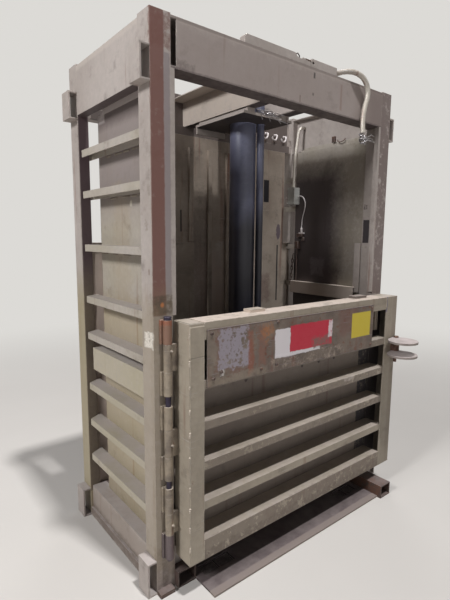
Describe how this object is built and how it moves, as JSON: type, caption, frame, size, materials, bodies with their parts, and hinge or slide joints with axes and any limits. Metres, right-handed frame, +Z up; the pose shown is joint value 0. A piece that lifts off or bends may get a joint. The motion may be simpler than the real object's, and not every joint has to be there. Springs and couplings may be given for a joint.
{
  "type": "recycling baler",
  "caption": "Tall steel vertical baler: ribbed side panels, an open feed opening over a ribbed hinged door with a plate latch, and a platen under a hydraulic cylinder.",
  "frame": {"origin": "on the floor, midway between the front faces of the two front posts", "axes": "+X to the right seen from the front, +Y to the back, +Z up; the door faces -Y"},
  "size_m": [1.786, 1.175, 2.5715],
  "materials": {
    "base_steel": "worn, dirty paint with rust",
    "frame_paint": "worn tan paint",
    "side_paint": "worn tan paint, dusty on top",
    "chamber_steel": "scuffed, stained paint",
    "door_paint": "worn tan paint, scraped ribs",
    "sign_paint": "faded, rusty brown paint with fields of colour",
    "hinge_steel": "greasy, worn steel",
    "latch_steel": "dusty bare steel",
    "platen_steel": "worn dark steel",
    "rod_chrome": "hard chrome",
    "barrel_paint": "dark blue-black paint",
    "box_metal": "grey enamel",
    "conduit_zinc": "dull zinc"
  },
  "bodies": {
    "frame": {"left_skid": "base_steel", "right_skid": "base_steel", "front_sill": "frame_paint", "rear_sill": "frame_paint", "apron_plate": "base_steel", "chamber_floor": "base_steel", "front_left_post": "frame_paint", "front_right_post": "frame_paint", "rear_left_post": "frame_paint", "rear_right_post": "frame_paint", "post_toes": "base_steel", "front_header": "frame_paint", "rear_rail": "frame_paint", "left_header": "frame_paint", "right_header": "frame_paint", "left_panel": "side_paint", "right_panel": "side_paint", "left_upper_ribs": "side_paint", "left_middle_ribs": "side_paint", "left_lower_ribs": "side_paint", "right_upper_ribs": "side_paint", "right_middle_ribs": "side_paint", "right_lower_ribs": "side_paint", "left_cover": "side_paint", "right_cover": "side_paint", "left_base_rail": "frame_paint", "right_base_rail": "frame_paint", "back_panel": "chamber_steel", "back_bars": "chamber_steel", "back_plate": "chamber_steel", "left_ledge": "chamber_steel", "right_ledge": "chamber_steel", "gate_guides": "frame_paint", "left_beam": "frame_paint", "right_beam": "frame_paint", "crosshead_plate": "frame_paint", "loop_brackets": "frame_paint", "header_strip": "frame_paint", "junction_box": "box_metal", "drop_conduit": "conduit_zinc", "header_conduit": "conduit_zinc", "hinge_pin": "hinge_steel", "post_knuckles": "hinge_steel"},
    "door": {"door_left_stile": "door_paint", "door_right_stile": "door_paint", "door_top_rail": "door_paint", "door_bottom_rail": "door_paint", "door_rib_1": "door_paint", "door_rib_2": "door_paint", "door_rib_3": "door_paint", "door_rib_4": "door_paint", "door_skin": "door_paint", "sign_plate": "sign_paint", "door_knuckles": "hinge_steel", "latch_bracket": "hinge_steel"},
    "latch": {"latch_plates": "latch_steel", "latch_pin": "hinge_steel"},
    "ram": {"platen": "platen_steel", "piston_rod": "rod_chrome"},
    "barrel": {"cylinder": "barrel_paint"}
  },
  "joints": [
    {"name": "door_hinge", "type": "hinge", "parent": "frame", "child": "door", "pos_m": [-0.795, -0.026, 0.7], "axis": [0, 0, -1], "range_deg": [0, 150]},
    {"name": "latch_swing", "type": "hinge", "parent": "door", "child": "latch", "pos_m": [0.82, -0.147, 0.96], "axis": [0, 0, 1], "range_deg": [0, 75]},
    {"name": "platen_slide", "type": "slide", "parent": "frame", "child": "ram", "axis": [0, 0, 1], "range_m": [0, 1.75]},
    {"name": "cylinder_slide", "type": "slide", "parent": "ram", "child": "barrel", "axis": [0, 0, 1], "range_m": [0, 1.7]}
  ]
}
